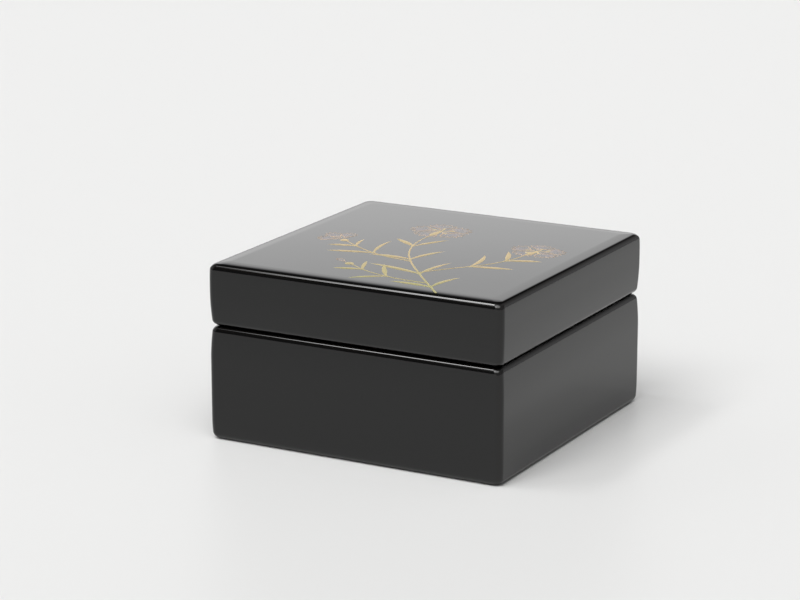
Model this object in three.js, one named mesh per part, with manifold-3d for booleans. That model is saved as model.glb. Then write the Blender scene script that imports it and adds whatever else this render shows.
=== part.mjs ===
// A square lacquer box with a lift-off lid, built the way a joiner builds its wooden core:
// mitred side boards with slip keys in the corners, a bottom board let into a rebate,
// a top board with a tongue, and four lining boards that stand proud as the rim the lid fits over.
// Every board is drawn at its finished size, lacquer included.
// Units are millimetres, +Z is up, the origin is under the middle of the box, the front faces -Y.

import * as THREE from "three";
import { mergeVertices } from "three/addons/utils/BufferGeometryUtils.js";
import Module from "manifold-3d";

const wasm = await Module();
wasm.setup();

// Outer form
const BOX_LENGTH = 120; // left to right, four sun
const BOX_WIDTH = 120; // front to back
const BODY_HEIGHT = 43.25; // from the table to the seam
const LID_HEIGHT = 23.75; // from the seam to the top
const CORNER_RADIUS = 2.6; // upright corners, in plan

// Soft edges. Before its round edge a side draws in by `draw` over the last `taper` of its height,
// and past the round edge the flat falls away by `drop`, over the outer `run` of its width.
const MOUTH_EDGE = { radius: 2.4, draw: 0.5, taper: 11, drop: 0.1, run: 1 };
const CROWN_EDGE = { radius: 2.4, draw: 0.1, taper: 4, drop: 0.25, run: 4.5 };
const FOOT_EDGE = { radius: 2.6, draw: 0.2, taper: 6, drop: 0, run: 0 };

// Boards
const BODY_WALL = 6;
const RIM_THICKNESS = 2;
const RIM_RISE = 7; // how far the rim stands above the seam
const RIM_ROUND = 0.7; // rounded top edges of the rim
const RIM_PLAY = 0.3; // clearance between the rim and the lid's walls
const BOTTOM_BOARD = 3.5;
const BOTTOM_REBATE = 2; // how far the bottom board is let into the walls
const FOOT_RECESS = 1; // the bottom board sits this far above the table
const TOP_BOARD = 4;
const TOP_TONGUE = 1.5; // height of the tongue under the top board
const BOARD_FIT = 0.15; // clearance round the bottom board and round the tongue

// Slip keys in the mitred corners
const KEY_THICKNESS = 1.2;
const KEY_COVER = 0.45; // wood and lacquer outside a key, at the rounded corner
const KEY_BACKING = 2.6; // wood behind a key, at the inner corner
const KEY_GLUE = 0.15; // glue line round a key
const BODY_KEYS_PER_CORNER = 2;
const LID_KEYS_PER_CORNER = 1;

// Smoothness of the rounded forms
const CORNER_STEPS = 5;
const ROUND_STEPS = 6;
const TAPER_STEPS = 5;
const FALL_STEPS = 3;
const RIM_ROUND_STEPS = 4;

const HALF_LENGTH = BOX_LENGTH / 2;
const HALF_WIDTH = BOX_WIDTH / 2;
const FLOOR_HEIGHT = FOOT_RECESS + BOTTOM_BOARD;
const LID_WALL = BODY_WALL - RIM_PLAY;
const LID_CEILING = LID_HEIGHT - TOP_BOARD; // above the seam
const RIGHT_ANGLE = Math.PI / 2;
const BEYOND = 10; // cutting blocks run this far past what they cut

// A closed three.js geometry as a solid for joining and cutting.
function solidOf(geometry) {
  const bare = geometry.clone();
  bare.deleteAttribute("normal");
  bare.deleteAttribute("uv");
  const merged = mergeVertices(bare, 1e-5);
  return new wasm.Manifold(
    new wasm.Mesh({
      numProp: 3,
      vertProperties: new Float32Array(merged.attributes.position.array),
      triVerts: new Uint32Array(merged.index.array),
    }),
  );
}

// A solid back as a three.js geometry.
function geometryOf(solid) {
  const mesh = solid.getMesh();
  const geometry = new THREE.BufferGeometry();
  geometry.setAttribute("position", new THREE.BufferAttribute(mesh.vertProperties, 3));
  geometry.setIndex(new THREE.BufferAttribute(mesh.triVerts, 1));
  const flat = geometry.toNonIndexed();
  flat.computeVertexNormals();
  return flat;
}

// A square-edged block between two heights, over the middle of the box.
function block(halfLength, halfWidth, low, high) {
  const geometry = new THREE.BoxGeometry(2 * halfLength, 2 * halfWidth, high - low);
  geometry.translate(0, 0, (low + high) / 2);
  return solidOf(geometry);
}

// A plan outline pulled up between two heights.
function prism(points, low, high) {
  const shape = new THREE.Shape(points.map(([x, y]) => new THREE.Vector2(x, y)));
  const geometry = new THREE.ExtrudeGeometry(shape, { depth: high - low, bevelEnabled: false });
  geometry.translate(0, 0, low);
  return solidOf(geometry);
}

// The rounded oblong that a level cut through the box shows, set in from the full size.
function planRing(inset) {
  const ring = [];
  const length = HALF_LENGTH - inset - CORNER_RADIUS;
  const width = HALF_WIDTH - inset - CORNER_RADIUS;
  const corners = [[1, 1], [-1, 1], [-1, -1], [1, -1]];
  corners.forEach(([sx, sy], quarter) => {
    for (let step = 0; step <= CORNER_STEPS; step++) {
      const angle = (quarter + step / CORNER_STEPS) * RIGHT_ANGLE;
      ring.push([
        sx * length + CORNER_RADIUS * Math.cos(angle),
        sy * width + CORNER_RADIUS * Math.sin(angle),
      ]);
    }
  });
  return ring;
}

// The section of one soft edge as [inset from the side, distance from the end], side first.
// A parabola draws the side in, an arc turns the edge, and a parabola falls away from the flat.
function edgeSection({ radius, draw, taper, drop, run }, room) {
  const reach = Math.min(taper, room);
  const firstAngle = Math.atan2(2 * draw, reach);
  const lastAngle = RIGHT_ANGLE - Math.atan2(2 * drop, run);
  const centre = [draw + radius * Math.cos(firstAngle), drop + radius * Math.sin(lastAngle)];
  const onArc = (angle) => [centre[0] - radius * Math.cos(angle), centre[1] - radius * Math.sin(angle)];
  const [, arcStart] = onArc(firstAngle);
  const [arcEnd] = onArc(lastAngle);
  const section = [];
  for (let step = 0; step < TAPER_STEPS; step++) {
    const along = step / TAPER_STEPS;
    section.push([draw * along ** 2, arcStart + reach * (1 - along)]);
  }
  for (let step = 0; step <= ROUND_STEPS; step++) {
    section.push(onArc(firstAngle + ((lastAngle - firstAngle) * step) / ROUND_STEPS));
  }
  for (let step = 1; step <= FALL_STEPS && run > 0; step++) {
    const along = step / FALL_STEPS;
    section.push([arcEnd + run * along, drop * (1 - along) ** 2]);
  }
  return section;
}

// A whole block with soft edges at both ends: one loft through the plan rings of its sections.
function softBlock(height, lower, upper) {
  const room = height / 2 - Math.max(lower.radius + lower.drop, upper.radius + upper.drop);
  const levels = [
    ...edgeSection(lower, room).reverse(),
    ...edgeSection(upper, room).map(([inset, away]) => [inset, height - away]),
  ];
  const rings = levels.map(([inset]) => planRing(inset));
  const positions = rings.flatMap((ring, level) => ring.flatMap(([x, y]) => [x, y, levels[level][1]]));
  const count = rings[0].length;
  const faces = [];
  for (let level = 0; level + 1 < levels.length; level++) {
    for (let i = 0; i < count; i++) {
      const a = level * count + i;
      const b = level * count + ((i + 1) % count);
      faces.push(a, b, b + count, a, b + count, a + count);
    }
  }
  const last = (levels.length - 1) * count;
  for (let i = 1; i + 1 < count; i++) {
    faces.push(0, i + 1, i);
    faces.push(last, last + i, last + i + 1);
  }
  const geometry = new THREE.BufferGeometry();
  geometry.setAttribute("position", new THREE.BufferAttribute(new Float32Array(positions), 3));
  geometry.setIndex(faces);
  return solidOf(geometry);
}

const SIDES = ["left", "front", "right", "back"];

// The space that one mitred board may fill: its ends run at 45 degrees through the corners.
function mitreSpace(side, low, high) {
  const depth = Math.min(HALF_LENGTH, HALF_WIDTH) / 2;
  const far = [HALF_LENGTH + BEYOND, HALF_WIDTH + BEYOND];
  const near = [HALF_LENGTH - depth, HALF_WIDTH - depth];
  const corner = (sx, sy, reach) => [sx * reach[0], sy * reach[1]];
  const outlines = {
    left: [corner(-1, 1, far), corner(-1, -1, far), corner(-1, -1, near), corner(-1, 1, near)],
    front: [corner(-1, -1, far), corner(1, -1, far), corner(1, -1, near), corner(-1, -1, near)],
    right: [corner(1, -1, far), corner(1, 1, far), corner(1, 1, near), corner(1, -1, near)],
    back: [corner(1, 1, far), corner(-1, 1, far), corner(-1, 1, near), corner(1, 1, near)],
  };
  return prism(outlines[side], low, high);
}

const CORNERS = { front_left: [-1, -1], front_right: [1, -1], back_right: [1, 1], back_left: [-1, 1] };

// A three-cornered slip across a mitre. Grown on every side by the glue line, it is its own kerf.
function slipKey({ corner, height, wall }, grow) {
  const [sx, sy] = corner;
  const inset = KEY_COVER + CORNER_RADIUS * (1 - Math.SQRT1_2);
  const leg = 2 * (wall - inset) - Math.SQRT2 * KEY_BACKING + grow * (2 + Math.SQRT2);
  const tip = [HALF_LENGTH - inset + grow, HALF_WIDTH - inset + grow];
  const points = [
    [sx * tip[0], sy * tip[1]],
    [sx * (tip[0] - leg), sy * tip[1]],
    [sx * tip[0], sy * (tip[1] - leg)],
  ];
  return prism(points, height - KEY_THICKNESS / 2 - grow, height + KEY_THICKNESS / 2 + grow);
}

// All slips of the body or the lid, shared out evenly up each corner of its walls.
function keyPlan(part, low, high, count, wall) {
  const heights = Array.from({ length: count }, (_, i) => low + ((high - low) * (i + 1)) / (count + 1));
  return Object.entries(CORNERS).flatMap(([place, corner]) =>
    heights.map((height, i) => ({ name: `${part}_key_${place}_${i + 1}`, corner, height, wall })),
  );
}

const bodyKeys = keyPlan("body", FLOOR_HEIGHT, BODY_HEIGHT, BODY_KEYS_PER_CORNER, BODY_WALL);
const lidKeys = keyPlan("lid", 0, LID_CEILING, LID_KEYS_PER_CORNER, LID_WALL);

// The four side boards of the body as one hollow block, before the mitres are cut.
function bodySides() {
  const inner = [HALF_LENGTH - BODY_WALL, HALF_WIDTH - BODY_WALL];
  return softBlock(BODY_HEIGHT, FOOT_EDGE, MOUTH_EDGE)
    .subtract(block(inner[0], inner[1], -BEYOND, BODY_HEIGHT + BEYOND))
    .subtract(block(inner[0] + BOTTOM_REBATE, inner[1] + BOTTOM_REBATE, -BEYOND, FLOOR_HEIGHT));
}

// The four side boards of the lid as one hollow block, before the mitres are cut.
function lidSides(form) {
  return form
    .subtract(block(HALF_LENGTH - LID_WALL, HALF_WIDTH - LID_WALL, -BEYOND, LID_HEIGHT + BEYOND))
    .subtract(block(BOX_LENGTH, BOX_WIDTH, LID_CEILING, LID_HEIGHT + BEYOND));
}

// One mitred side board, with kerfs for the keys at its ends.
function sideBoard(sides, side, keys) {
  const board = sides.intersect(mitreSpace(side, -BEYOND, BODY_HEIGHT + LID_HEIGHT));
  return keys.reduce((wood, key) => wood.subtract(slipKey(key, KEY_GLUE)), board);
}

// The bottom board, pushed up into its rebate from below.
function bottomBoard() {
  const inset = BODY_WALL - BOTTOM_REBATE + BOARD_FIT;
  return block(HALF_LENGTH - inset, HALF_WIDTH - inset, FOOT_RECESS, FLOOR_HEIGHT);
}

// The top board covers the lid's side boards, and its tongue drops inside them.
function topBoard(form) {
  const inset = LID_WALL + BOARD_FIT;
  const slab = form.subtract(block(BOX_LENGTH, BOX_WIDTH, -BEYOND, LID_CEILING));
  const tongue = block(
    HALF_LENGTH - inset,
    HALF_WIDTH - inset,
    LID_CEILING - TOP_TONGUE,
    LID_CEILING + TOP_BOARD / 2,
  );
  return slab.add(tongue);
}

// One lining board: it stands on the bottom board, lines the wall and rises above the seam.
function rimBoard(side) {
  const half = side === "front" || side === "back" ? HALF_WIDTH : HALF_LENGTH;
  const outer = BODY_WALL - half;
  const inner = outer + RIM_THICKNESS;
  const top = BODY_HEIGHT + RIM_RISE;
  const round = Math.min(RIM_ROUND, 0.49 * RIM_THICKNESS);
  const section = new THREE.Shape();
  section.moveTo(outer, FLOOR_HEIGHT);
  section.lineTo(inner, FLOOR_HEIGHT);
  section.absarc(inner - round, top - round, round, 0, RIGHT_ANGLE, false);
  section.absarc(outer + round, top - round, round, RIGHT_ANGLE, Math.PI, false);
  section.closePath();
  const length = BOX_LENGTH + BOX_WIDTH;
  const board = new THREE.ExtrudeGeometry(section, {
    depth: length,
    bevelEnabled: false,
    curveSegments: RIM_ROUND_STEPS,
  });
  // The section is drawn standing at the left wall, so it turns by quarters to reach its own.
  board.translate(0, 0, -length / 2);
  board.rotateX(RIGHT_ANGLE);
  board.rotateZ(SIDES.indexOf(side) * RIGHT_ANGLE);
  return solidOf(board).intersect(mitreSpace(side, 0, top + BEYOND));
}

const blackLacquer = { color: 0x0b0b0c, roughness: 0.06, metalness: 0 };
const keyWood = { color: 0xb08a5a, roughness: 0.7, metalness: 0 };

const box = new THREE.Group();
const body = new THREE.Group();
const lid = new THREE.Group();
lid.position.z = BODY_HEIGHT;
box.add(body, lid);

function place(group, name, solid, finish) {
  const mesh = new THREE.Mesh(geometryOf(solid), new THREE.MeshStandardMaterial(finish));
  mesh.name = name;
  group.add(mesh);
}

const bodyBlank = bodySides();
const lidForm = softBlock(LID_HEIGHT, MOUTH_EDGE, CROWN_EDGE);
const lidBlank = lidSides(lidForm);

for (const side of SIDES) {
  place(body, `body_${side}_wall`, sideBoard(bodyBlank, side, bodyKeys), blackLacquer);
  place(body, `rim_${side}_board`, rimBoard(side), blackLacquer);
  place(lid, `lid_${side}_wall`, sideBoard(lidBlank, side, lidKeys), blackLacquer);
}
place(body, "bottom_board", bottomBoard(), blackLacquer);
place(lid, "lid_top_board", topBoard(lidForm), blackLacquer);
for (const key of bodyKeys) place(body, key.name, slipKey(key, 0), keyWood);
for (const key of lidKeys) place(lid, key.name, slipKey(key, 0), keyWood);

export default box;
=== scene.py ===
# %% [markdown]
# A black lacquer box with a lid that lifts off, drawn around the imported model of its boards.
#
# The boards of the real box are wood, but nobody sees them: cloth and many coats of lacquer make
# the body one smooth skin and the lid another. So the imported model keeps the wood, the joint and
# every size, and this script gives the box its skins, its inner rim and its gold spray.
# Blender works in metres here, so sizes on the box are written in millimetres times MM.

import math
import random

import bpy
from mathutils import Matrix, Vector


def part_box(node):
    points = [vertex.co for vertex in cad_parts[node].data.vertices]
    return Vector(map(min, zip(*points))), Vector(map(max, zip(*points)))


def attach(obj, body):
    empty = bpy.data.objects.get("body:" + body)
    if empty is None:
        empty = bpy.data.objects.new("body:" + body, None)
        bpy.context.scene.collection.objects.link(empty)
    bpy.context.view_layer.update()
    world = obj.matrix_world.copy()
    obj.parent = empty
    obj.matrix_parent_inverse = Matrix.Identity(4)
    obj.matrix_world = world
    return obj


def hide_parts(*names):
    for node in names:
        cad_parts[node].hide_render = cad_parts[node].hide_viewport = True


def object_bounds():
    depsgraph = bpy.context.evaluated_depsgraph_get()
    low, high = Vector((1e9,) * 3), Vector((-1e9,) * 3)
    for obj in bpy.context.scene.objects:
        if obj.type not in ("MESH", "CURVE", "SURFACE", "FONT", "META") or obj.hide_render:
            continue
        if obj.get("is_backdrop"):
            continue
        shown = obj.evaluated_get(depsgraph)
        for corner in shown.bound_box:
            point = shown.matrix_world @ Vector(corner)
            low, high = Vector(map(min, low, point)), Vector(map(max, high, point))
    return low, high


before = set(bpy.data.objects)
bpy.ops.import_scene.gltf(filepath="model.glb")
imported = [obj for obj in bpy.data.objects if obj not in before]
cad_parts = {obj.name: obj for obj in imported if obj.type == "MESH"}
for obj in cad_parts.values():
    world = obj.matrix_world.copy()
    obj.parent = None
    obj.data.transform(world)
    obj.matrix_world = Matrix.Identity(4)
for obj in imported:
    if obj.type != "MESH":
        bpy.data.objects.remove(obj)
cad_low, cad_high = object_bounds()
MM = 0.001
print("the packed box measures", [round(side / MM, 2) for side in cad_high - cad_low], "mm")

# %% [markdown]
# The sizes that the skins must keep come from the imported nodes, never from numbers typed twice:
# the seam is where the body's wall ends, the floor is the bottom board's top, and the walls are as
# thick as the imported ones. Two small sizes can't be measured on a node and are written here: the
# play of the bottom board in its rebate, and how far the gold may stand proud of the lid.

# %% Read the sizes of the box off its nodes
wall_low, wall_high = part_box("body_front_wall")
rim_low, rim_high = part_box("rim_front_board")
_, floor_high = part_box("bottom_board")
lid_wall_low, lid_wall_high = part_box("lid_front_wall")
lid_top_low, lid_top_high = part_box("lid_top_board")
_, side_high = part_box("body_right_wall")

HALF = side_high.x
SEAM = wall_high.z
FLOOR = floor_high.z
BODY_WALL = wall_high.y - wall_low.y
RIM_TOP = rim_high.z
RIM_THICKNESS = rim_high.y - rim_low.y
BOARD_FIT = 0.15 * MM
REBATE_INSET = HALF - floor_high.x - BOARD_FIT
LID_WALL = lid_wall_high.y - lid_wall_low.y
CEILING = lid_top_low.z
GOLD_HEIGHT = 0.10 * MM
LID_TOP = lid_top_high.z - GOLD_HEIGHT
print("half a side", round(HALF / MM, 2), "mm, seam at", round(SEAM / MM, 2), "mm")

# %% [markdown]
# The outline of a side is the whole character of such a box. It runs straight, draws in a little
# towards the seam, turns through a small round edge, and falls away from the flat, so that the lid
# and the body meet in a soft valley. A bevel modifier can't draw that, so the section is worked
# out as a parabola, an arc and a parabola that meet without a kink. Its sizes are written here,
# because a box in the hand has finer rounds than its wooden core needs.

# %% The section of a soft edge
UPRIGHT_CORNER = 2.6 * MM
CORNER_STEPS = 12
EDGE_STEPS = 14
MOUTH_EDGE = {"radius": 2.4 * MM, "draw": 0.5 * MM, "taper": 11 * MM,
              "drop": 0.1 * MM, "run": 1 * MM}
CROWN_EDGE = {"radius": 2.4 * MM, "draw": 0.1 * MM, "taper": 4 * MM,
              "drop": 0.25 * MM, "run": 4.5 * MM}
FOOT_EDGE = {"radius": 2.6 * MM, "draw": 0.2 * MM, "taper": 6 * MM, "drop": 0, "run": 0}


def edge_section(radius, draw, taper, drop, run):
    """One soft edge as (inset from the side, distance from the end), from the side inwards.

    The side draws in by `draw` along `taper` and turns through `radius`. The flat beyond it falls
    by `drop` over its last `run`.
    """
    first = math.atan2(2 * draw, taper)
    last = math.pi / 2 - math.atan2(2 * drop, run)
    centre = (draw + radius * math.cos(first), drop + radius * math.sin(last))
    arc = [first + (last - first) * i / EDGE_STEPS for i in range(EDGE_STEPS + 1)]
    turn = [(centre[0] - radius * math.cos(a), centre[1] - radius * math.sin(a)) for a in arc]
    section = []
    for i in range(EDGE_STEPS):
        along = i / EDGE_STEPS
        section.append((draw * along ** 2, turn[0][1] + taper * (1 - along)))
    section += turn
    if run:
        for i in range(1, EDGE_STEPS + 1):
            along = i / EDGE_STEPS
            section.append((turn[-1][0] + run * along, drop * (1 - along) ** 2))
    return section


print("a mouth edge has", len(edge_section(**MOUTH_EDGE)), "points in its section")

# %% [markdown]
# Each skin is drawn as a turner's template is used, ring by ring. A plane with rounded corners
# is the first ring; every next one is an extrusion that is moved to its height and scaled to its
# inset. That is what extruding and scaling by hand does, and it keeps one clean loop of edges per
# step of the section, which is what a mirror finish needs.

# %% Tools for selecting and naming


def start_clean():
    """Go to object mode with nothing selected, because an operator acts on all that is."""
    if bpy.context.mode != "OBJECT":
        bpy.ops.object.mode_set(mode="OBJECT")
    bpy.ops.object.select_all(action="DESELECT")


def pick(*pieces):
    """Select only these pieces and make the first one active."""
    start_clean()
    for piece in pieces:
        piece.select_set(True)
    bpy.context.view_layer.objects.active = pieces[0]


def rename(piece, name):
    """Give a piece and its mesh or curve the same name."""
    piece.name = name
    piece.data.name = name
    return piece


# %% Tools for working ring by ring


def first_ring(name, inset, height, corner):
    """A square plane with rounded corners, left in edit mode with its face selected."""
    start_clean()
    bpy.ops.mesh.primitive_plane_add(size=2 * HALF, location=(0, 0, 0))
    piece = rename(bpy.context.object, name)
    bpy.ops.object.mode_set(mode="EDIT")
    bpy.ops.mesh.select_all(action="SELECT")
    bpy.ops.mesh.bevel(offset=corner, segments=CORNER_STEPS, affect="VERTICES")
    bpy.ops.mesh.select_all(action="SELECT")
    scale = (HALF - inset) / HALF
    bpy.ops.transform.resize(value=(scale, scale, 1), center_override=(0, 0, 0))
    bpy.ops.transform.translate(value=(0, 0, height))
    return piece


def next_ring(before, after):
    """Extrude the selected ring from one (inset, height) to the next."""
    rise = after[1] - before[1]
    scale = (HALF - after[0]) / (HALF - before[0])
    bpy.ops.mesh.extrude_region_move(TRANSFORM_OT_translate={"value": (0, 0, rise)})
    bpy.ops.transform.resize(value=(scale, scale, 1), center_override=(0, 0, 0))


def skin(name, path, corner):
    """A closed skin through a path of (inset, height), from its first face to its last."""
    piece = first_ring(name, *path[0], corner)
    for before, after in zip(path, path[1:]):
        next_ring(before, after)
    return piece


def hollow_skin(name, path, corner):
    """A skin that closes on itself like a tyre: its first and last rings are bridged."""
    piece = skin(name, path, corner)
    # The last ring's face is still selected. Once it is gone, the first ring's is the only one
    # that has more than four corners.
    bpy.ops.mesh.delete(type="ONLY_FACE")
    bpy.ops.object.mode_set(mode="OBJECT")
    for face in piece.data.polygons:
        face.select = len(face.vertices) > 4
    bpy.ops.object.mode_set(mode="EDIT")
    bpy.ops.mesh.select_mode(type="FACE")
    bpy.ops.mesh.delete(type="ONLY_FACE")
    bpy.ops.mesh.select_mode(type="EDGE")
    bpy.ops.mesh.select_all(action="DESELECT")
    bpy.ops.mesh.select_non_manifold()
    bpy.ops.mesh.bridge_edge_loops()
    bpy.ops.mesh.select_mode(type="VERT")
    return piece


# %% Tools for finishing and checking a skin
SKIN_CREASE = math.radians(35)


def finish_skin(piece):
    """Normals outwards, smooth shading, and flat faces that stay flat in their reflections."""
    bpy.ops.mesh.select_all(action="SELECT")
    bpy.ops.mesh.normals_make_consistent(inside=False)
    bpy.ops.object.mode_set(mode="OBJECT")
    bpy.ops.object.shade_smooth_by_angle(angle=SKIN_CREASE)
    bpy.ops.object.modifier_add(type="WEIGHTED_NORMAL")
    piece.modifiers[-1].keep_sharp = True
    bpy.ops.object.modifier_apply(modifier=piece.modifiers[-1].name)


def report(piece):
    """Print what was made, with the number of open or doubled edges, which should be none."""
    edges = {}
    for face in piece.data.polygons:
        for key in face.edge_keys:
            edges[key] = edges.get(key, 0) + 1
    open_edges = sum(1 for count in edges.values() if count != 2)
    size = [round(side / MM, 2) for side in piece.dimensions]
    print(f"{piece.name}: {size} mm, {len(piece.data.polygons)} faces, {open_edges} open edges")


# %% [markdown]
# The body's skin is the part of the box below the seam: a foot to stand on, four sides, the soft
# mouth and the flat that the lid rests on. On the real box cloth is glued over the corner joints
# before the lacquer, so no mitre shows, and here one mesh stands for all four boards.

# %% Model the body's skin
foot = list(reversed(edge_section(**FOOT_EDGE)))
mouth = [(inset, SEAM - away) for inset, away in edge_section(**MOUTH_EDGE)]
body_path = [(REBATE_INSET, 0)] + foot + mouth
body_path += [(BODY_WALL, SEAM), (BODY_WALL, FLOOR), (REBATE_INSET, FLOOR)]
body_shell = hollow_skin("body_shell", body_path, UPRIGHT_CORNER)
finish_skin(body_shell)
report(body_shell)

# %% [markdown]
# The rim is what makes the lid sit flush: a thin lining stands on the bottom board, and its rounded
# top rises above the seam for the lid to slide over. Inside, lacquerers fill the angle between wall
# and floor with putty, so a small hollow curve runs round the foot of the lining.

# %% Model the rim and its coved foot
RIM_ROUNDING = 0.45
RIM_STEPS = 6
LACQUER_EDGE = 0.35 * MM
LACQUER_EDGE_STEPS = 4
COVE_RADIUS = 1.4 * MM
COVE_STEPS = 8


def rounded_step(corner, before, after, radius=LACQUER_EDGE, steps=LACQUER_EDGE_STEPS):
    """Points that round one corner of a path, coming from `before` and leaving to `after`."""
    corner = Vector(corner)
    start = corner + (Vector(before) - corner).normalized() * radius
    end = corner + (Vector(after) - corner).normalized() * radius
    points = []
    for i in range(steps + 1):
        t = i / steps
        points.append(tuple(start * (1 - t) ** 2 + corner * 2 * t * (1 - t) + end * t ** 2))
    return points


rim_outer = BODY_WALL
rim_inner = BODY_WALL + RIM_THICKNESS
rim_round = RIM_ROUNDING * RIM_THICKNESS
outer_edge = (rim_outer, RIM_TOP)
inner_edge = (rim_inner, RIM_TOP)
cove = []
for i in range(COVE_STEPS + 1):
    angle = math.pi / 2 * i / COVE_STEPS
    inwards = COVE_RADIUS * (1 - math.cos(angle))
    above = COVE_RADIUS * (1 - math.sin(angle))
    cove.append((rim_inner + inwards, FLOOR + above))
rim_path = [(rim_outer, FLOOR)]
rim_path += rounded_step(outer_edge, (rim_outer, FLOOR), inner_edge, rim_round, RIM_STEPS)
rim_path += rounded_step(inner_edge, outer_edge, (rim_inner, FLOOR), rim_round, RIM_STEPS)
rim_path += cove
rim_lining = hollow_skin("rim_lining", rim_path, UPRIGHT_CORNER)
finish_skin(rim_lining)
report(rim_lining)

# %% [markdown]
# The lid is a tray turned over. Its path starts on the ceiling inside, comes down the inner wall,
# rounds the mouth, climbs the outside and ends on the top. The angle under the top is coved like
# the foot of the rim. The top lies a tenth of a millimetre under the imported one, which leaves that
# much for the gold to stand proud. Its upright corners are as round as the body's, so that one
# line runs down the whole box.

# %% Model the lid's skin
CEILING_RING = 3 * COVE_RADIUS
lid_cove = [(inset - rim_inner + LID_WALL, FLOOR - height) for inset, height in reversed(cove)]
lid_mouth = [(inset, SEAM + away) for inset, away in reversed(edge_section(**MOUTH_EDGE))]
crown = [(inset, LID_TOP - away) for inset, away in edge_section(**CROWN_EDGE)]
lid_path = [(LID_WALL + CEILING_RING, CEILING)]
lid_path += [(inset, CEILING + away) for inset, away in lid_cove]
lid_path += rounded_step((LID_WALL, SEAM), (LID_WALL, CEILING), (0, SEAM))
lid_path += lid_mouth + crown
lid_shell = skin("lid_shell", lid_path, UPRIGHT_CORNER)
finish_skin(lid_shell)
report(lid_shell)

# %% [markdown]
# The spray on the lid is drawn with a fine brush in lacquer, dusted with gold powder while it is
# wet, and lacquered over. The strokes stand a little proud and end in points. A tube along a curve
# gives just that, if its section is a half round: flat on the lid and domed above. So a small
# closed half-round outline is drawn first, and every curve uses it as its bevel, with a width at
# each point. All strokes of one kind are splines of one curve and become one closed mesh.

# %% The half-round section of a brush stroke
TIP_STEPS = 6
TIP_RADIUS = 0.5 * MM


def brush_tip():
    """A half disc one millimetre wide, standing on its flat side."""
    start_clean()
    bpy.ops.curve.primitive_bezier_curve_add(location=(0, 0, 0))
    tip = rename(bpy.context.object, "brush_tip")
    tip.data.dimensions = "2D"
    tip.data.splines.clear()
    outline = tip.data.splines.new("POLY")
    outline.points.add(TIP_STEPS)
    for i, point in enumerate(outline.points):
        angle = math.pi * i / TIP_STEPS
        point.co = (-TIP_RADIUS * math.cos(angle), TIP_RADIUS * math.sin(angle), 0, 1)
    outline.use_cyclic_u = True
    return tip


tip = brush_tip()
print("the brush tip has", len(tip.data.splines[0].points), "points")

# %% A brush stroke
STROKE_STEPS = 7
STROKE_CREASE = math.radians(60)
WELD_DISTANCE = 0.0002 * MM


def brush_strokes(name, strokes, height, sharp=False):
    """Raised strokes at height 0 from [(points, widths)], in millimetres, as one closed mesh."""
    start_clean()
    bpy.ops.curve.primitive_bezier_curve_add(location=(0, 0, 0))
    piece = rename(bpy.context.object, name)
    curve = piece.data
    curve.dimensions = "3D"
    curve.twist_mode = "Z_UP"
    curve.splines.clear()
    for points, widths in strokes:
        spline = curve.splines.new("BEZIER")
        spline.bezier_points.add(len(points) - 1)
        for knot, (x, y), width in zip(spline.bezier_points, points, widths):
            knot.co = (x * MM, y * MM, 0)
            knot.handle_left_type = "VECTOR" if sharp else "AUTO"
            knot.handle_right_type = knot.handle_left_type
            knot.radius = width
        spline.radius_interpolation = "EASE"
        spline.resolution_u = 1 if sharp else STROKE_STEPS
    curve.bevel_mode = "OBJECT"
    curve.bevel_object = tip
    curve.use_fill_caps = True
    bpy.ops.object.convert(target="MESH")
    piece = bpy.context.object
    flatten_to(piece, height)
    return piece


def flatten_to(piece, height):
    """Weld the end caps of strokes drawn at height 0 and bring the tallest dome to `height`."""
    tallest = max(vertex.co.z for vertex in piece.data.vertices)
    bpy.ops.object.mode_set(mode="EDIT")
    bpy.ops.mesh.select_all(action="SELECT")
    bpy.ops.mesh.remove_doubles(threshold=WELD_DISTANCE)
    bpy.ops.transform.resize(value=(1, 1, height / tallest), center_override=(0, 0, 0))
    bpy.ops.mesh.normals_make_consistent(inside=False)
    bpy.ops.object.mode_set(mode="OBJECT")
    bpy.ops.object.shade_smooth_by_angle(angle=STROKE_CREASE)


# %% Lay a drawn piece on the lid


def lay_on_lid(piece):
    """Lift a finished piece of the drawing from height 0 to the lid's top."""
    pick(piece)
    bpy.ops.object.mode_set(mode="EDIT")
    bpy.ops.mesh.select_all(action="SELECT")
    bpy.ops.transform.translate(value=(0, 0, LID_TOP))
    bpy.ops.object.mode_set(mode="OBJECT")
    report(piece)
    return piece


# %% [markdown]
# The motif is an autumn pink, an old favourite on lacquer: thin jointed stems, slim leaves in pairs
# at each joint, and fringed petals. The stems rise from the front edge, right of its middle, and
# part to the left and the right. A few listed points make each stem, and the leaves follow
# from the stems by a loop, so they always grow where a joint is.

# %% Draw the stems
STEM_WIDTH = 0.9
STEM_TAPER = 0.4
STEM_HEIGHT = 0.8 * GOLD_HEIGHT
STEMS = {
    "main": [(33, -57.5), (24, -47), (14, -35), (4, -22), (-4, -8), (-8, 7), (-8, 17)],
    "right": [(14, -35), (22, -24), (30, -14), (35, -3), (37, 7)],
    "left": [(4, -22), (-10, -19), (-22, -13), (-32, -6)],
    "low": [(24, -47), (10, -46), (-3, -42), (-13, -36)],
}

stem_strokes = []
for points in STEMS.values():
    widths = [STEM_WIDTH * (1 - STEM_TAPER * i / (len(points) - 1)) for i in range(len(points))]
    stem_strokes.append((points, widths))
spray_stems = lay_on_lid(brush_strokes("spray_stems", stem_strokes, STEM_HEIGHT))

# %% A smooth curve through points


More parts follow.
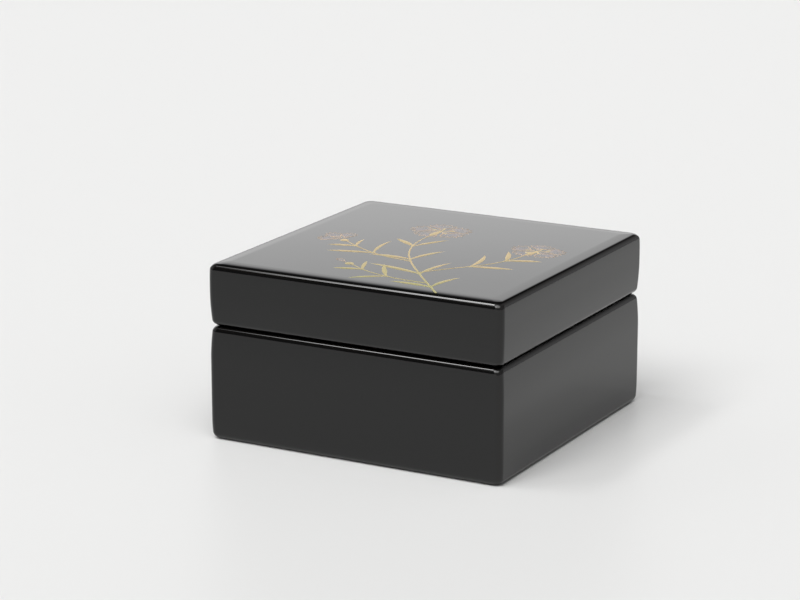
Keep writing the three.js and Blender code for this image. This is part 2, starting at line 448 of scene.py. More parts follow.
def along_curve(points, t):
    """The place and direction at share t of a smooth curve through points."""
    spans = len(points) - 1
    i = min(int(t * spans), spans - 1)
    u = t * spans - i
    p1, p2 = Vector(points[i]), Vector(points[i + 1])
    p0 = Vector(points[i - 1]) if i > 0 else 2 * p1 - p2
    p3 = Vector(points[i + 2]) if i + 2 <= spans else 2 * p2 - p1
    place = 0.5 * (2 * p1 + (p2 - p0) * u + (2 * p0 - 5 * p1 + 4 * p2 - p3) * u ** 2
                   + (3 * p1 - p0 - 3 * p2 + p3) * u ** 3)
    heading = 0.5 * ((p2 - p0) + 2 * (2 * p0 - 5 * p1 + 4 * p2 - p3) * u
                     + 3 * (3 * p1 - p0 - 3 * p2 + p3) * u ** 2)
    return place, heading.normalized()


# %% Draw the leaves in pairs along the stems
LEAF_WIDTH = 2.7
LEAF_JOINTS = {
    "main": [(0.10, 18), (0.31, 23), (0.53, 21), (0.74, 16)],
    "right": [(0.38, 19), (0.70, 14)],
    "left": [(0.44, 18), (0.76, 12)],
    "low": [(0.42, 16), (0.76, 11)],
}
LEAF_SPREAD = math.radians(36)
LEAF_STRAY = 0.12
LEAF_BEND = math.radians(26)
LEAF_BENDS = (0.3, 1.2)
LEAF_LENGTHS = (0.82, 1.1)
LEAF_EDGE_ON = 0.45
# Shares of a leaf's length from knot to knot, and of its breadth at each knot
LEAF_STEPS = (0.16, 0.22, 0.24, 0.22, 0.16)
LEAF_PROFILE = (0.20, 0.62, 0.97, 0.92, 0.52, 0.04)
JOINT_WIDTHS = [0.6, 1.7, 0.6]
BRUSH_SEED = 11


def leaf_stroke(root, heading, side, length, rng):
    """One slim leaf, bent to a point, and narrower the more it runs from front to back."""
    spread = LEAF_SPREAD + rng.uniform(-LEAF_STRAY, LEAF_STRAY)
    angle = math.atan2(heading.y, heading.x) + side * spread
    bend = side * LEAF_BEND * rng.uniform(*LEAF_BENDS)
    place = Vector(root)
    points = [tuple(place)]
    for share in LEAF_STEPS:
        place = place + Vector((math.cos(angle), math.sin(angle))) * length * share
        points.append(tuple(place))
        angle += bend / (len(LEAF_STEPS) - 1)
    breadth = LEAF_WIDTH * (LEAF_EDGE_ON + (1 - LEAF_EDGE_ON) * abs(math.cos(angle)))
    return points, [breadth * share for share in LEAF_PROFILE]


rng = random.Random(BRUSH_SEED)
leaf_strokes = []
for stem, joints in LEAF_JOINTS.items():
    for share, length in joints:
        place, heading = along_curve(STEMS[stem], share)
        for side in (-1, 1):
            reach = length * rng.uniform(*LEAF_LENGTHS)
            leaf_strokes.append(leaf_stroke(place, heading, side, reach, rng))
        knee = [tuple(place - heading), tuple(place), tuple(place + heading)]
        leaf_strokes.append((knee, JOINT_WIDTHS))
spray_leaves = lay_on_lid(brush_strokes("spray_leaves", leaf_strokes, GOLD_HEIGHT))

# %% [markdown]
# A petal is two things: a breath of powder that lets the black show through, and brushed lines,
# strong along the sides and the fringe and fine along the veins. One petal is drawn lying along X
# with its claw at the middle of the flower. Everything else is copies of it: five in a ring make
# an open blossom, three narrow ones side by side a half-open one, and a very narrow one a bud.

# %% The outline of one petal
PETAL_REACH = 12.0
PETAL_HALF_ANGLE = math.radians(31)
CLAW = 0.12
CLAW_WIDTH = 0.25
SHOULDER = 0.76
SIDE_STEPS = 5
SIDE_SWELL = 1.3
TEETH = 5
TOOTH_DEPTH = 0.15
OUTER_TOOTH = 0.87
FRINGE_SPREAD = 1.04


def polar(radius, angle):
    """A point of the petal from its share of the reach and its angle."""
    return (PETAL_REACH * radius * math.cos(angle), PETAL_REACH * radius * math.sin(angle))


def petal_side(sign):
    """One side of the petal, from the claw out to the shoulder."""
    points = []
    for i in range(SIDE_STEPS + 1):
        u = i / SIDE_STEPS
        swell = math.sin(u * math.pi / 2) ** SIDE_SWELL
        angle = PETAL_HALF_ANGLE * (CLAW_WIDTH + (1 - CLAW_WIDTH) * swell)
        points.append(polar(CLAW + (SHOULDER - CLAW) * u, sign * angle))
    return points


def tooth_points():
    """The fringe from shoulder to shoulder: a tip, a notch, a tip and so on."""
    points = []
    for i in range(2 * TEETH - 1):
        u = (i + 0.5) / (2 * TEETH - 1)
        crest = OUTER_TOOTH + (1 - OUTER_TOOTH) * math.sin(u * math.pi)
        radius = crest if i % 2 == 0 else crest - TOOTH_DEPTH
        points.append(polar(radius, PETAL_HALF_ANGLE * FRINGE_SPREAD * (2 * u - 1)))
    return points


petal_outline = petal_side(-1) + tooth_points() + petal_side(1)[::-1]
print("a petal's outline has", len(petal_outline), "points")

# %% Draw one petal's lines
SIDE_WIDTHS = [0.40, 0.58, 0.72, 0.74, 0.66, 0.50]
FRINGE_WIDTH = 0.50
VEIN_WIDTH = 0.44
VEINS = 3
VEIN_SPREAD = 0.5 * PETAL_HALF_ANGLE
VEIN_CLOSING = 0.55
VEIN_RADII = (0.18, 0.34, 0.50, 0.60)
VEIN_WIDTHS = [0.10, VEIN_WIDTH, 0.8 * VEIN_WIDTH, 0.06]
HAIR_ROOT = (0.62, 0.93)
HAIR_MIDDLE = (0.78, 0.98)
HAIR_REACH = 0.97
HAIR_WIDTHS = [0.08, VEIN_WIDTH, 0.12]
LINE_HEIGHT = 0.7 * GOLD_HEIGHT
FRINGE_HEIGHT = 0.6 * GOLD_HEIGHT


def tooth_hairs():
    """A hair in each middle tooth, which leans a little towards the petal's middle at its root."""
    hairs = []
    for x, y in tooth_points()[2:-2:2]:
        angle = math.atan2(y, x)
        points = [polar(radius, angle * lean) for radius, lean in (HAIR_ROOT, HAIR_MIDDLE)]
        hairs.append((points + [(HAIR_REACH * x, HAIR_REACH * y)], HAIR_WIDTHS))
    return hairs


def petal_veins():
    """Veins that lie close together at the claw and spread on their way out."""
    veins = []
    for i in range(VEINS):
        angle = VEIN_SPREAD * (2 * i / (VEINS - 1) - 1)
        ray = []
        for radius in VEIN_RADII:
            ray.append(polar(radius, angle * (VEIN_CLOSING + (1 - VEIN_CLOSING) * radius)))
        veins.append((ray, VEIN_WIDTHS))
    return veins


def petal_lines():
    """The sides, the hairs, the veins and the zigzag of the fringe of one petal."""
    sides = [(petal_side(sign), SIDE_WIDTHS) for sign in (-1, 1)]
    lines = brush_strokes("petal_lines", sides + tooth_hairs() + petal_veins(), LINE_HEIGHT)
    zigzag = [petal_side(-1)[-1]] + tooth_points() + [petal_side(1)[-1]]
    fringe = [(zigzag, [FRINGE_WIDTH] * len(zigzag))]
    rim = brush_strokes("petal_rim", fringe, FRINGE_HEIGHT, sharp=True)
    pick(lines, rim)
    bpy.ops.object.join()
    return lines


one_petal = {"lines": petal_lines()}
report(one_petal["lines"])

# %% Draw one petal's powder
POWDER_HEIGHT = 0.25 * GOLD_HEIGHT


def petal_plate():
    """The powder of one petal: a thin plate whose UV is its distance from the flower's heart."""
    start_clean()
    bpy.ops.mesh.primitive_circle_add(vertices=len(petal_outline), radius=MM, fill_type="NGON")
    plate = rename(bpy.context.object, "petal_powder")
    for corner, (x, y) in zip(plate.data.vertices, petal_outline):
        corner.co = (x * MM, y * MM, 0)
    bpy.ops.object.mode_set(mode="EDIT")
    bpy.ops.mesh.select_all(action="SELECT")
    bpy.ops.mesh.extrude_region_move(TRANSFORM_OT_translate={"value": (0, 0, POWDER_HEIGHT)})
    bpy.ops.mesh.select_all(action="SELECT")
    bpy.ops.mesh.normals_make_consistent(inside=False)
    bpy.ops.mesh.quads_convert_to_tris()
    bpy.ops.object.mode_set(mode="OBJECT")
    spread = plate.data.uv_layers.new(name="spread")
    for loop in plate.data.loops:
        place = plate.data.vertices[loop.vertex_index].co
        spread.data[loop.index].uv = (place.xy.length / (PETAL_REACH * MM), 0)
    return plate


one_petal["powder"] = petal_plate()
report(one_petal["powder"])

# %% [markdown]
# Copies are turned, narrowed and moved in edit mode, so that each finished piece keeps its object
# at the origin and its place in its mesh. With no window the rotate operator turns the other way,
# so its angle is given with the opposite sign.

# %% Tools for copying petals


def petal_copy(kind, turn, narrow, stretch):
    """A copy of the petal's lines or powder, shaped along X and across, then turned."""
    pick(one_petal[kind])
    bpy.ops.object.duplicate()
    copy = bpy.context.object
    bpy.ops.object.mode_set(mode="EDIT")
    bpy.ops.mesh.select_all(action="SELECT")
    bpy.ops.transform.resize(value=(stretch, narrow, 1), center_override=(0, 0, 0))
    bpy.ops.transform.rotate(value=-turn, orient_axis="Z", center_override=(0, 0, 0))
    bpy.ops.object.mode_set(mode="OBJECT")
    return copy


def set_down(piece, place, lean, size, flatten):
    """Flatten a flower along X, turn X to its lean and move it to its place on the lid."""
    pick(piece)
    bpy.ops.object.mode_set(mode="EDIT")
    bpy.ops.mesh.select_all(action="SELECT")
    bpy.ops.transform.resize(value=(size * flatten, size, 1), center_override=(0, 0, 0))
    bpy.ops.transform.rotate(value=-lean, orient_axis="Z", center_override=(0, 0, 0))
    bpy.ops.transform.translate(value=(place[0] * MM, place[1] * MM, 0))
    bpy.ops.object.mode_set(mode="OBJECT")


def flower(name, kind, petals, place, lean, size, flatten):
    """One flower from petals given as (turn, narrow, stretch), laid on the lid."""
    copies = [petal_copy(kind, *petal) for petal in petals]
    pick(*copies)
    if len(copies) > 1:
        bpy.ops.object.join()
    piece = rename(bpy.context.object, f"{name}_{kind}")
    set_down(piece, place, lean, size, flatten)
    return lay_on_lid(piece)


# %% Make the flowers
PETALS = 5
OPEN_TURN = 0.3
OPEN_PETALS = [(2 * math.pi * i / PETALS + OPEN_TURN, 1.0, 1.0) for i in range(PETALS)]
HALF_OPEN_NARROW = 0.62
HALF_OPEN_TURNS = {-44: 0.86, 44: 0.86, 0: 1.0}
HALF_OPEN_PETALS = [(math.radians(turn), HALF_OPEN_NARROW, stretch)
                    for turn, stretch in HALF_OPEN_TURNS.items()]
BUD_PETALS = [(0.0, 0.26, 0.62)]
FLOWERS = {
    "blossom_back": {"stem": "main", "petals": OPEN_PETALS,
                     "size": 1.05, "flatten": 0.84, "beyond": 7.5},
    "blossom_right": {"stem": "right", "petals": OPEN_PETALS,
                      "size": 0.95, "flatten": 0.80, "beyond": 6.5},
    "half_open": {"stem": "left", "petals": HALF_OPEN_PETALS,
                  "size": 1.0, "flatten": 1.0, "beyond": 3.0},
    "bud": {"stem": "low", "petals": BUD_PETALS,
            "size": 1.0, "flatten": 1.0, "beyond": 3.0},
}


def flower_seat(flower_sizes):
    """Where a flower's heart lies and which way it leans, from the end of its stem."""
    tip_place, heading = along_curve(STEMS[flower_sizes["stem"]], 1)
    place = tip_place + heading * flower_sizes["beyond"]
    return tuple(place), math.atan2(heading.y, heading.x)


flower_lines = {}
flower_powder = {}
for name, sizes in FLOWERS.items():
    place, lean = flower_seat(sizes)
    shape = (sizes["petals"], place, lean, sizes["size"], sizes["flatten"])
    flower_powder[name] = flower(name, "powder", *shape)
    flower_lines[name] = flower(name, "lines", *shape)
for piece in one_petal.values():
    bpy.data.objects.remove(piece, do_unlink=True)

# %% [markdown]
# Under each flower sits a long slim tube with two small scales at its foot, and from the heart of
# an open one rise a few bright threads with a grain of gold at each tip.

# %% The strokes of a flower tube
CALYX_WIDTH = 2.6
CALYX_SHARES = (-0.25, 0.15, 0.6, 1.05)
CALYX_WIDTHS = [0.6, CALYX_WIDTH, 0.85 * CALYX_WIDTH, 0.5 * CALYX_WIDTH]
SCALE_ROOT = 0.4
SCALE_TURN = 0.45
SCALE_LENGTH = 3.6


def calyx_strokes(stem, beyond, rng):
    """The tube between a stem's end and its flower, and two scales at its foot."""
    foot_place, heading = along_curve(STEMS[stem], 1)
    spine = [tuple(foot_place + heading * beyond * share) for share in CALYX_SHARES]
    strokes = [(spine, CALYX_WIDTHS)]
    root = foot_place - heading * SCALE_ROOT
    for side in (-1, 1):
        strokes.append(leaf_stroke(root, heading, SCALE_TURN * side, SCALE_LENGTH, rng))
    return strokes


# %% The strokes of the stamens
STAMENS = 5
STAMEN_STRAY = 0.2
STAMEN_REACHES = (0.28, 0.44)
STAMEN_BEND = 0.3
STAMEN_SHARES = (0.1, 0.55, 0.92, 1.12)
STAMEN_WIDTHS = [0.4, 0.5, 1.3, 0.3]


def stamen_strokes(sizes, rng):
    """Short bright strokes from the heart of a blossom, each with a dot at its end."""
    (x, y), lean = flower_seat(sizes)
    strokes = []
    for i in range(STAMENS):
        angle = lean + 2 * math.pi * (i + rng.uniform(-STAMEN_STRAY, STAMEN_STRAY)) / STAMENS
        reach = PETAL_REACH * sizes["size"] * rng.uniform(*STAMEN_REACHES)
        ray = []
        for share in STAMEN_SHARES:
            bent = angle + STAMEN_BEND * share
            ray.append((x + reach * share * math.cos(bent), y + reach * share * math.sin(bent)))
        strokes.append((ray, STAMEN_WIDTHS))
    return strokes


# %% Draw the flower tubes and the stamens
calyxes = []
stamens = []
for sizes in FLOWERS.values():
    calyxes += calyx_strokes(sizes["stem"], sizes["beyond"], rng)
    if sizes["petals"] is OPEN_PETALS:
        stamens += stamen_strokes(sizes, rng)
flower_tubes = lay_on_lid(brush_strokes("flower_tubes", calyxes, GOLD_HEIGHT))
blossom_stamens = lay_on_lid(brush_strokes("blossom_stamens", stamens, GOLD_HEIGHT))
bpy.data.objects.remove(tip, do_unlink=True)

# %% [markdown]
# Every piece rides on the body that carries it, so the spray goes up with the lid. The skins stand
# for the boards that they cover; the bottom board and the keys stay as packed.

# %% Tie each piece to its body
SIDES = ("left", "front", "right", "back")
gold_pieces = [spray_stems, spray_leaves, flower_tubes, blossom_stamens, *flower_lines.values()]
powder_pieces = list(flower_powder.values())

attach(body_shell, "box")
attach(rim_lining, "box")
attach(lid_shell, "lid")
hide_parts(*[f"body_{side}_wall" for side in SIDES])
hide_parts(*[f"rim_{side}_board" for side in SIDES])
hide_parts("lid_top_board", *[f"lid_{side}_wall" for side in SIDES])
for piece in gold_pieces + powder_pieces:
    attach(piece, "lid")
print(len(gold_pieces) + len(powder_pieces), "gold pieces ride on the lid")

# %% [markdown]
# Materials are trees of nodes, so a few short helpers come first. Each takes the tree's nodes and
# links and returns the socket that it made, and all patterns read Object coordinates in metres.

# %% Helpers for materials and textures
# Most values of a noise lie between these
NOISE_MIDDLE = (0.3, 0.7)


def new_material(name):
    """A new material; returns it with its nodes, its links and its one shader."""
    material = bpy.data.materials.new(name)
    material.use_nodes = True
    nodes = material.node_tree.nodes
    return material, nodes, material.node_tree.links, nodes["Principled BSDF"]


def noise(nodes, links, coordinates, scale, detail, roughness=0.5):
    """A noise texture at a scale in cycles per metre; returns its value socket."""
    texture = nodes.new("ShaderNodeTexNoise")
    texture.inputs["Scale"].default_value = scale
    texture.inputs["Detail"].default_value = detail
    texture.inputs["Roughness"].default_value = roughness
    links.new(coordinates, texture.inputs["Vector"])
    return texture.outputs["Fac"]


def remap(nodes, links, value, from_low, from_high, to_low, to_high, smooth=False):
    """Stretch a value from one range to another and stop at the ends."""
    stretch = nodes.new("ShaderNodeMapRange")
    stretch.interpolation_type = "SMOOTHSTEP" if smooth else "LINEAR"
    stretch.inputs["From Min"].default_value = from_low
    stretch.inputs["From Max"].default_value = from_high
    stretch.inputs["To Min"].default_value = to_low
    stretch.inputs["To Max"].default_value = to_high
    links.new(value, stretch.inputs["Value"])
    return stretch.outputs["Result"]


# %% Helpers for mixing, sums and bumps


def blend_colours(nodes, links, factor, first, second):
    """Mix two colours, given as tuples or sockets, by a factor socket."""
    mix = nodes.new("ShaderNodeMix")
    mix.data_type = "RGBA"
    links.new(factor, mix.inputs["Factor"])
    for socket, colour in ((mix.inputs[6], first), (mix.inputs[7], second)):
        if isinstance(colour, tuple):
            socket.default_value = (*colour, 1)
        else:
            links.new(colour, socket)
    return mix.outputs[2]


def calculate(nodes, links, operation, *values):
    """A Math node on sockets or numbers."""
    node = nodes.new("ShaderNodeMath")
    node.operation = operation
    for socket, value in zip(node.inputs, values):
        if isinstance(value, (int, float)):
            socket.default_value = value
        else:
            links.new(value, socket)
    return node.outputs["Value"]


def bump(nodes, links, height, distance, normal=None):
    """A bump from a height socket, in metres."""
    node = nodes.new("ShaderNodeBump")
    node.inputs["Distance"].default_value = distance
    links.new(height, node.inputs["Height"])
    if normal is not None:
        links.new(normal, node.inputs["Normal"])
    return node.outputs["Normal"]


# %% [markdown]
# Polished lacquer is a black so deep that only its reflections have any light. Its surface is
# never quite as flat as glass: the polisher's hand leaves a slow swell, and a few specks of dust
# stay under the last coat. Over the round edges the coat is thinner and a little browner.

# %% Black lacquer
LACQUER_IOR = 1.48
LACQUER_BLACK = (0.0008, 0.0009, 0.0009)
LACQUER_BROWN = (0.0040, 0.0024, 0.0018)
BROWN_SCALE = 90
FLAT_LEAN = 0.985
ROUND_LEAN = 0.80
HAZE_SCALE = 35
HAZE = (0.02, 0.04)
HAZE_NOISE = (0.35, 0.75)
SWELL_SCALE = 22
SWELL_HEIGHT = 0.015 * MM
DUST_GREY = (0.05, 0.05, 0.052)
DUST_SCALE = 90
DUST_SIZE = (0.012, 0.008)
DUST_HEIGHT = 0.015 * MM
DUST_ROUGHNESS = 0.3
CLEAN_SHARE = 0.7


def edge_mask(nodes, links, coordinates):
    """1 on round edges and 0 on flats, from how far the surface leans from all three axes."""
    split = nodes.new("ShaderNodeSeparateXYZ")
    links.new(coordinates.outputs["Normal"], split.inputs["Vector"])
    sizes = [calculate(nodes, links, "ABSOLUTE", split.outputs[axis]) for axis in "XYZ"]
    larger = calculate(nodes, links, "MAXIMUM", *sizes[:2])
    largest = calculate(nodes, links, "MAXIMUM", larger, sizes[2])
    return remap(nodes, links, largest, FLAT_LEAN, ROUND_LEAN, 0.0, 1.0)


def dust_specks(nodes, links, place):
    """1 at a few tiny specks and 0 elsewhere."""
    cells = nodes.new("ShaderNodeTexVoronoi")
    cells.inputs["Scale"].default_value = DUST_SCALE
    links.new(place, cells.inputs["Vector"])
    near = remap(nodes, links, cells.outputs["Distance"], *DUST_SIZE, 0.0, 1.0)
    chance = nodes.new("ShaderNodeSeparateColor")
    links.new(cells.outputs["Color"], chance.inputs["Color"])
    chosen = calculate(nodes, links, "GREATER_THAN", chance.outputs["Red"], CLEAN_SHARE)
    return calculate(nodes, links, "MULTIPLY", near, chosen)


def black_lacquer():
    """The mirror black of the skins and the bottom board."""
    material, nodes, links, shader = new_material("black_lacquer")
    coordinates = nodes.new("ShaderNodeTexCoord")
    place = coordinates.outputs["Object"]
    edges = edge_mask(nodes, links, coordinates)
    patches = noise(nodes, links, place, BROWN_SCALE, detail=3)
    patchy = calculate(nodes, links, "MULTIPLY", edges, patches)
    specks = dust_specks(nodes, links, place)
    tone = blend_colours(nodes, links, patchy, LACQUER_BLACK, LACQUER_BROWN)
    links.new(blend_colours(nodes, links, specks, tone, DUST_GREY), shader.inputs["Base Color"])
    clouds = noise(nodes, links, place, HAZE_SCALE, detail=4)
    haze = remap(nodes, links, clouds, *HAZE_NOISE, *HAZE)
    dusty = calculate(nodes, links, "MULTIPLY_ADD", specks, DUST_ROUGHNESS, haze)
    links.new(dusty, shader.inputs["Roughness"])
    waves = noise(nodes, links, place, SWELL_SCALE, detail=1)
    swell = bump(nodes, links, waves, SWELL_HEIGHT)
    links.new(bump(nodes, links, specks, DUST_HEIGHT, swell), shader.inputs["Normal"])
    shader.inputs["IOR"].default_value = LACQUER_IOR
    return material


lacquer = black_lacquer()
for piece in (body_shell, rim_lining, lid_shell):
    piece.data.materials.append(lacquer)
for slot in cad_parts["bottom_board"].material_slots:
    slot.material = lacquer
print("the lacquer tree has", len(lacquer.node_tree.nodes), "nodes")

# %% [markdown]
# Gold powder is grains, not foil. Each grain faces its own way, so a stroke is softer than polished
# gold and sparkles a little when it turns. The maker used a greener gold low on the stems and a
# warmer one above. The petals have almost no gold: a rosy dusting, thin at the heart and denser
# towards the fringe, under the same clear lacquer as everything else.

# %% Sprinkled gold
WARM_GOLD = (0.80, 0.62, 0.33)
GREEN_GOLD = (0.56, 0.54, 0.20)
PALE_GOLD = (0.92, 0.76, 0.42)
PETAL_LINE = (0.70, 0.53, 0.38)
GRAIN_SCALE = 4200
GRAIN_HEIGHT = 0.015 * MM
GRAIN_SHADE = 0.6
DARK_GRAINS = (0.50, 0.32)
DARK_COVER = 0.4
GOLD_METALLIC = 0.7
GOLD_ROUGHNESS = (0.48, 0.36)
DRIFT_SCALE = 160
DRIFT = 0.2


def gold_powder(name, low_colour, high_colour, low_y, high_y):
    """Dense powder whose colour changes from the front of the lid to the back."""
    material, nodes, links, shader = new_material(name)
    place = nodes.new("ShaderNodeTexCoord").outputs["Object"]
    split = nodes.new("ShaderNodeSeparateXYZ")
    links.new(place, split.inputs["Vector"])
    rise = remap(nodes, links, split.outputs["Y"], low_y * MM, high_y * MM, 0.0, 1.0)
    patches = noise(nodes, links, place, DRIFT_SCALE, detail=2)
    drift = remap(nodes, links, patches, *NOISE_MIDDLE, -DRIFT, DRIFT)
    warmth = calculate(nodes, links, "ADD", rise, drift)
    tone = blend_colours(nodes, links, warmth, low_colour, high_colour)
    grain = noise(nodes, links, place, GRAIN_SCALE, detail=2, roughness=0.6)
    dark = tuple(GRAIN_SHADE * channel for channel in high_colour)
    shade = remap(nodes, links, grain, *DARK_GRAINS, 0.0, DARK_COVER)
    links.new(blend_colours(nodes, links, shade, tone, dark), shader.inputs["Base Color"])
    shader.inputs["Metallic"].default_value = GOLD_METALLIC
    gloss = remap(nodes, links, grain, *NOISE_MIDDLE, *GOLD_ROUGHNESS)
    links.new(gloss, shader.inputs["Roughness"])
    links.new(bump(nodes, links, grain, GRAIN_HEIGHT), shader.inputs["Normal"])
    return material


stem_gold = gold_powder("stem_gold", GREEN_GOLD, WARM_GOLD, low_y=-58, high_y=-24)
leaf_gold = gold_powder("leaf_gold", GREEN_GOLD, WARM_GOLD, low_y=-60, high_y=-18)
line_gold = gold_powder("petal_line_gold", PETAL_LINE, PETAL_LINE, low_y=-20, high_y=30)
bright_gold = gold_powder("stamen_gold", PALE_GOLD, PALE_GOLD, low_y=-20, high_y=30)
spray_stems.data.materials.append(stem_gold)
for piece in (spray_leaves, flower_tubes):
    piece.data.materials.append(leaf_gold)
blossom_stamens.data.materials.append(bright_gold)
for piece in flower_lines.values():
    piece.data.materials.append(line_gold)
print("gold on", len(gold_pieces), "pieces")

# %% The rosy powder of the petals
PETAL_PIGMENT = (0.105, 0.070, 0.085)
POWDER_SCALE = 3600
POWDER_SPREAD = (0.15, 0.95)
POWDER_THRESHOLDS = (0.56, 0.42)
POWDER_RIM = (-0.03, 0.05)
POWDER_ROUGHNESS = (0.06, 0.16)


def petal_powder():
    """Pigment grains under clear lacquer, denser towards the fringe."""
    material, nodes, links, shader = new_material("petal_powder")
    coordinates = nodes.new("ShaderNodeTexCoord")
    place = coordinates.outputs["Object"]
    split = nodes.new("ShaderNodeSeparateXYZ")
    links.new(coordinates.outputs["UV"], split.inputs["Vector"])
    threshold = remap(nodes, links, split.outputs["X"], *POWDER_SPREAD, *POWDER_THRESHOLDS)
    grain = noise(nodes, links, place, POWDER_SCALE, detail=2, roughness=0.6)
    over = calculate(nodes, links, "SUBTRACT", grain, threshold)
    cover = remap(nodes, links, over, *POWDER_RIM, 0.0, 1.0)
    tone = blend_colours(nodes, links, cover, LACQUER_BLACK, PETAL_PIGMENT)
    links.new(tone, shader.inputs["Base Color"])
    links.new(remap(nodes, links, cover, 0.0, 1.0, *POWDER_ROUGHNESS), shader.inputs["Roughness"])
    shader.inputs["IOR"].default_value = LACQUER_IOR
    return material


thin_powder = petal_powder()
for piece in powder_pieces:
    piece.data.materials.append(thin_powder)
print("thin powder on", len(powder_pieces), "pieces")

# %% [markdown]
# The keys are slips of plain wood glued across the mitres. They lie under the lacquer, so they are
# never seen on a whole box, but they are part of how it is made and get their wood all the same.

# %% Bare wood for the keys
WOOD_LIGHT = (0.50, 0.31, 0.15)
WOOD_DARK = (0.34, 0.19, 0.08)
WOOD_GRAIN_SCALE = 400
WOOD_NOISE = (0.35, 0.65)
WOOD_GRAIN_STRETCH = (1, 1, 6)
WOOD_ROUGHNESS = 0.65
WOOD_RELIEF = 0.05 * MM


def key_wood():
    """Straight-grained wood for the slips that lock the mitres."""
    material, nodes, links, shader = new_material("key_wood")
    place = nodes.new("ShaderNodeTexCoord").outputs["Object"]
    stretch = nodes.new("ShaderNodeMapping")
    stretch.inputs["Scale"].default_value = WOOD_GRAIN_STRETCH
    links.new(place, stretch.inputs["Vector"])
    drawn_out = stretch.outputs["Vector"]
    grain = noise(nodes, links, drawn_out, WOOD_GRAIN_SCALE, detail=6, roughness=0.6)
    streak = remap(nodes, links, grain, *WOOD_NOISE, 0.0, 1.0)
    tone = blend_colours(nodes, links, streak, WOOD_LIGHT, WOOD_DARK)
    links.new(tone, shader.inputs["Base Color"])
    shader.inputs["Roughness"].default_value = WOOD_ROUGHNESS
    links.new(bump(nodes, links, grain, WOOD_RELIEF), shader.inputs["Normal"])
    return material


wood = key_wood()
keys = [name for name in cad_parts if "_key_" in name]
for name in keys:
    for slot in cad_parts[name].material_slots:
        slot.material = wood
print(len(keys), "keys in bare wood")

# %% [markdown]
# A mirror-black box shows the studio more than itself, so the studio is what has to be right.
# The floor is pale satin paper: the sides mirror it, and it mirrors them back as a faint dark
# haze. Behind the box the sweep of paper is bright low down, where the lid's top mirrors it, and
# falls to black above, so that the round edges turn black. Two wide soft lights fill the room from
# places that no side or edge mirrors into the lens. Only the small key light, with its heart and
# its skirt, is mirrored: it draws the thin white lines along the front edges.

# %% The floor
FLOOR_TONE = (0.705, 0.705, 0.699)
FLOOR_ROUGHNESS = 0.45
FLOOR_SPECULAR = 0.38
FLOOR_SIZE = 9.0


def paper_floor():
    """The plain paper that the box stands on, as stage."""
    start_clean()
    bpy.ops.mesh.primitive_plane_add(size=FLOOR_SIZE, location=(0, 0, 0))
    floor = rename(bpy.context.object, "floor")
    material, _, _, shader = new_material("paper")
    shader.inputs["Base Color"].default_value = (*FLOOR_TONE, 1)
    shader.inputs["Roughness"].default_value = FLOOR_ROUGHNESS
    shader.inputs["Specular IOR Level"].default_value = FLOOR_SPECULAR
    floor.data.materials.append(material)
    floor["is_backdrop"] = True


paper_floor()
print("the floor is", FLOOR_SIZE, "m square")

# %% [markdown]
# The room is a world that depends on direction alone, so nothing stands in the picture but the
# box. The sweep and the right wall are ladders of light from the horizon up, the front is a ladder
# from left to right with a dark gap where the front edges look, and each lamp is a round patch.

# %% The light from every direction
SWEEP = [(0, 0.8), (0.10, 0.9), (0.19, 1.40), (0.225, 1.40), (0.26, 1.18),
         (0.33, 1.22), (0.37, 0.87), (0.42, 0.20), (0.47, 0.02), (1.0, 0.06)]
RIGHT_WALL = [(0, 0.50), (0.20, 0.50), (0.32, 0.40), (0.45, 0.25), (0.75, 0.36), (1.0, 0.36)]
FRONT = [(0, 0.5), (0.17, 0.5), (0.20, 0.1), (0.29, 0.1),
         (0.33, 0.6), (0.50, 0.6), (0.62, 0.4), (1.0, 0.4)]
SOFT_LIGHTS = {
    "key": {"toward": (-0.45, -0.12, 0.885), "light": 10.0, "core": 1, "edge": 6},
    "key_heart": {"toward": (-0.41, -0.13, 0.90), "light": 15.0, "core": 0.5, "edge": 4.5},
    "key_skirt": {"toward": (-0.44, -0.34, 0.831), "light": 16.0, "core": 1, "edge": 5.5},
    "front_box": {"toward": (-0.20, -0.64, 0.74), "light": 5.2, "core": 6, "edge": 16},
    "overhead": {"toward": (0.12, -0.38, 0.92), "light": 3.7, "core": 8, "edge": 33},
}
print("the room has", len(SOFT_LIGHTS), "round lights")

# %% Tools for light that depends on direction
LADDER_TOP = 2.0


def light_ladder(nodes, links, position, rungs):
    """Light that changes along one direction: a colour ramp through (position, light) rungs."""
    ramp = nodes.new("ShaderNodeValToRGB")
    ramp.color_ramp.interpolation = "EASE"
    stops = ramp.color_ramp.elements
    for i, (place, light) in enumerate(rungs):
        stop = stops[i] if i < 2 else stops.new(place)
        stop.position = place
        stop.color = (light / LADDER_TOP,) * 3 + (1,)
    links.new(position, ramp.inputs["Fac"])
    return calculate(nodes, links, "MULTIPLY", ramp.outputs["Color"], LADDER_TOP)


def crossfade(nodes, links, factor, first, second):
    """first where the factor is 0 and second where it is 1, as plain numbers."""
    span = calculate(nodes, links, "SUBTRACT", second, first)
    return calculate(nodes, links, "MULTIPLY_ADD", span, factor, first)


def round_light(nodes, links, direction, toward, light, core, edge):
    """A round light in the sky: full within its core and gone at its edge, both in degrees."""
    aim = nodes.new("ShaderNodeVectorMath")
    aim.operation = "DOT_PRODUCT"
    aim.inputs[1].default_value = Vector(toward).normalized()
    links.new(direction, aim.inputs[0])
    start, full = (math.cos(math.radians(angle)) for angle in (edge, core))
    return remap(nodes, links, aim.outputs["Value"], start, full, 0.0, light, smooth=True)


# %% Build the room
BEHIND_SPAN = (0.0, 0.5)
RIGHT_SPAN = (-0.05, 0.25)
BACKGROUND_WHITE = 0.87


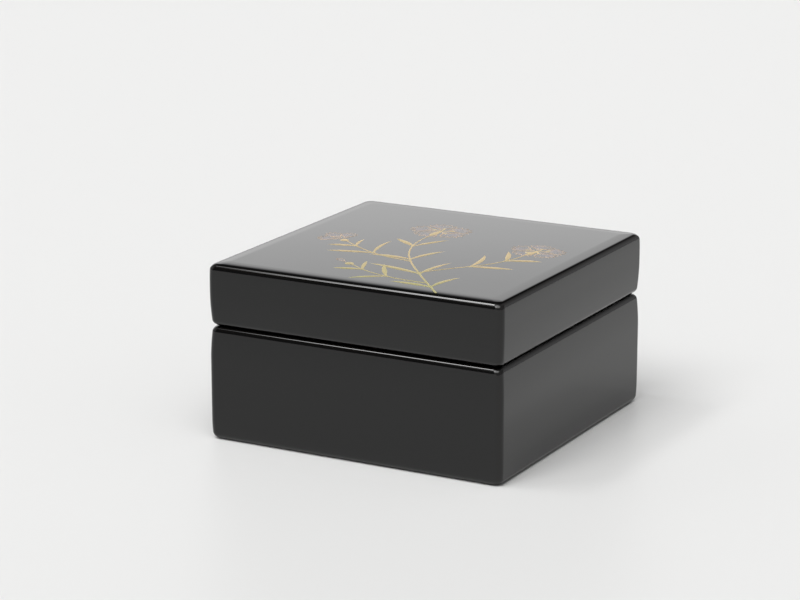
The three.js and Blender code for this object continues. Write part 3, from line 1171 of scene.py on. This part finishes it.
def studio_room():
    """The world: the sweep, the walls and the round lights, mixed by direction."""
    world = bpy.data.worlds.new("studio")
    bpy.context.scene.world = world
    world.use_nodes = True
    nodes, links = world.node_tree.nodes, world.node_tree.links
    direction = nodes.new("ShaderNodeTexCoord").outputs["Generated"]
    split = nodes.new("ShaderNodeSeparateXYZ")
    links.new(direction, split.inputs["Vector"])
    behind = remap(nodes, links, split.outputs["Y"], *BEHIND_SPAN, 0.0, 1.0, smooth=True)
    rightwards = remap(nodes, links, split.outputs["X"], *RIGHT_SPAN, 0.0, 1.0, smooth=True)
    across = remap(nodes, links, split.outputs["X"], -1.0, 1.0, 0.0, 1.0)
    sweep = light_ladder(nodes, links, split.outputs["Z"], SWEEP)
    right_wall = light_ladder(nodes, links, split.outputs["Z"], RIGHT_WALL)
    back = crossfade(nodes, links, rightwards, sweep, right_wall)
    light = crossfade(nodes, links, behind, light_ladder(nodes, links, across, FRONT), back)
    for lamp in SOFT_LIGHTS.values():
        light = calculate(nodes, links, "ADD", light, round_light(nodes, links, direction, **lamp))
    seen = nodes.new("ShaderNodeLightPath").outputs["Is Camera Ray"]
    tint = blend_colours(nodes, links, seen, light, (BACKGROUND_WHITE,) * 3)
    links.new(tint, nodes["Background"].inputs["Color"])
    return world


studio = studio_room()
print("the studio has", len(studio.node_tree.nodes), "nodes")

# %% [markdown]
# The camera stands where the photographer stood: a long lens about a metre away, a little above
# the box, turned so that the front and the right side both show. Its place and lens were found by
# fitting the box's outline and its seam to the picture.

# %% The camera
CAMERA_PLACE = (472.8 * MM, -896.2 * MM, 318.9 * MM)
CAMERA_TURN = math.radians(28.432)
CAMERA_DIP = math.radians(15.045)
CAMERA_LENS = 126.19
CAMERA_SENSOR = 36
CAMERA_CLIP_START = 0.05
CAMERA_CLIP_END = 20

start_clean()
tilt = math.pi / 2 - CAMERA_DIP
bpy.ops.object.camera_add(location=CAMERA_PLACE, rotation=(tilt, 0, CAMERA_TURN))
camera = bpy.context.object
camera.name = "camera"
camera.data.lens = CAMERA_LENS
camera.data.sensor_width = CAMERA_SENSOR
camera.data.clip_start = CAMERA_CLIP_START
camera.data.clip_end = CAMERA_CLIP_END
bpy.context.scene.camera = camera
bpy.context.scene.view_settings.view_transform = "Standard"
print("camera", round(Vector(CAMERA_PLACE).length, 3), "m from the middle of the box's foot")

# %% Gather both boxes' sizes and finish
visual_low, visual_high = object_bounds()
sizes = {
    "cad": [list(cad_low), list(cad_high)],
    "visual": [list(visual_low), list(visual_high)],
}
print("visual size", [round(side / MM, 2) for side in visual_high - visual_low], "mm")
